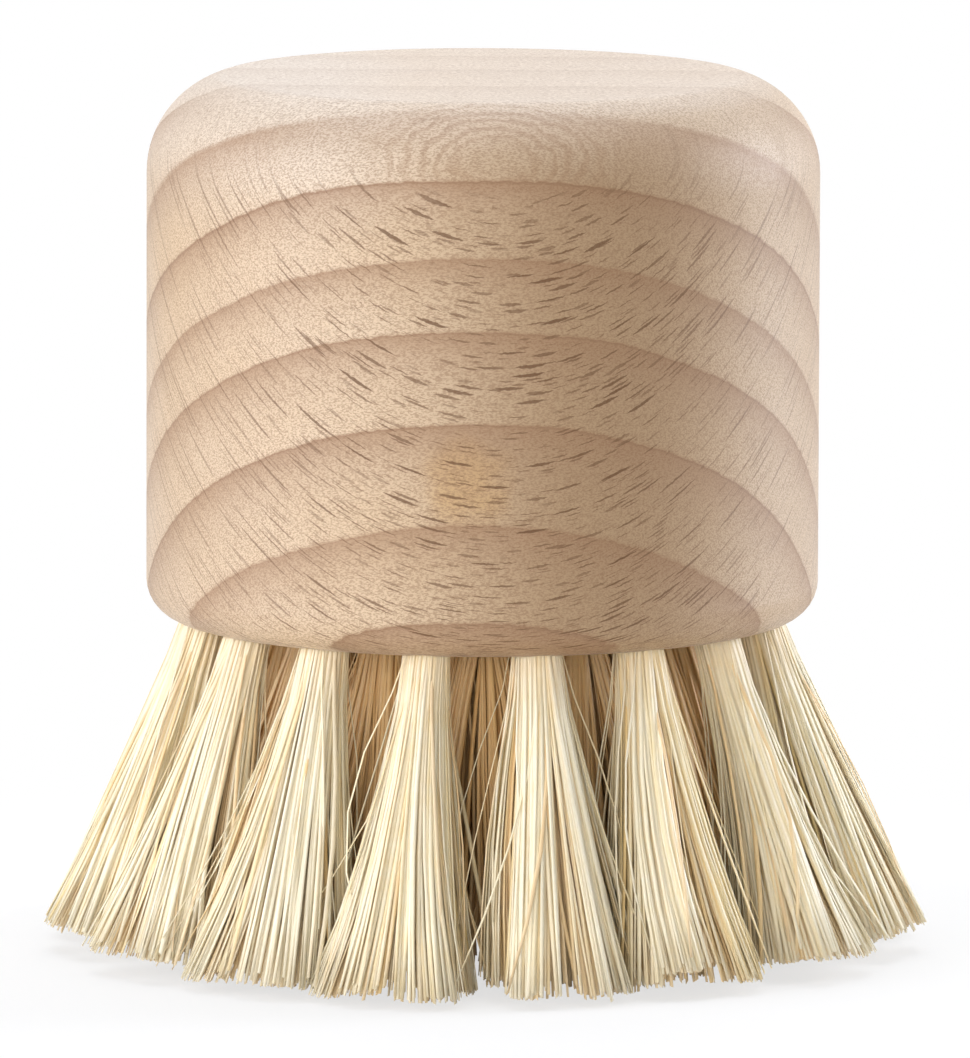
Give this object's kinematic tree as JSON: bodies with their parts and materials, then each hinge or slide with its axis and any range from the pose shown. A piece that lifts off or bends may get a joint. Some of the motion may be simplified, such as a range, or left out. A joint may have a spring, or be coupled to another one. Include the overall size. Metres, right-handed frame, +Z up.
{
  "type": "dish brush",
  "caption": "Palm dish brush: a turned wooden knob with a flat top and rounded shoulder, and splayed rows of plant-fibre tufts anchored in its underside for scrubbing dishes and pans.",
  "frame": {"origin": "centre of the plane that the trimmed bristle tips stand on", "axes": "+Z up along the knob's turning axis, out of the flat top; +X along the wood's grain; -Y is the side that faces the camera"},
  "size_m": [0.0778, 0.0778, 0.078],
  "materials": {
    "beech": "bare sanded beech, matte",
    "fibre": "natural cream plant fibre, dry",
    "anchor_brass": "drawn flat wire, dull"
  },
  "bodies": {
    "root": {"beech_knob": "beech", "front_tufts": "fibre", "right_tufts": "fibre", "back_tufts": "fibre", "left_tufts": "fibre", "outer_row_anchor_01": "anchor_brass", "outer_row_anchor_02": "anchor_brass", "outer_row_anchor_03": "anchor_brass", "outer_row_anchor_04": "anchor_brass", "outer_row_anchor_05": "anchor_brass", "outer_row_anchor_06": "anchor_brass", "outer_row_anchor_07": "anchor_brass", "outer_row_anchor_08": "anchor_brass", "outer_row_anchor_09": "anchor_brass", "outer_row_anchor_10": "anchor_brass", "outer_row_anchor_11": "anchor_brass", "outer_row_anchor_12": "anchor_brass", "outer_row_anchor_13": "anchor_brass", "outer_row_anchor_14": "anchor_brass", "outer_row_anchor_15": "anchor_brass", "outer_row_anchor_16": "anchor_brass", "second_row_anchor_01": "anchor_brass", "second_row_anchor_02": "anchor_brass", "second_row_anchor_03": "anchor_brass", "second_row_anchor_04": "anchor_brass", "second_row_anchor_05": "anchor_brass", "second_row_anchor_06": "anchor_brass", "second_row_anchor_07": "anchor_brass", "second_row_anchor_08": "anchor_brass", "second_row_anchor_09": "anchor_brass", "second_row_anchor_10": "anchor_brass", "second_row_anchor_11": "anchor_brass", "second_row_anchor_12": "anchor_brass", "third_row_anchor_01": "anchor_brass", "third_row_anchor_02": "anchor_brass", "third_row_anchor_03": "anchor_brass", "third_row_anchor_04": "anchor_brass"}
  },
  "joints": []
}
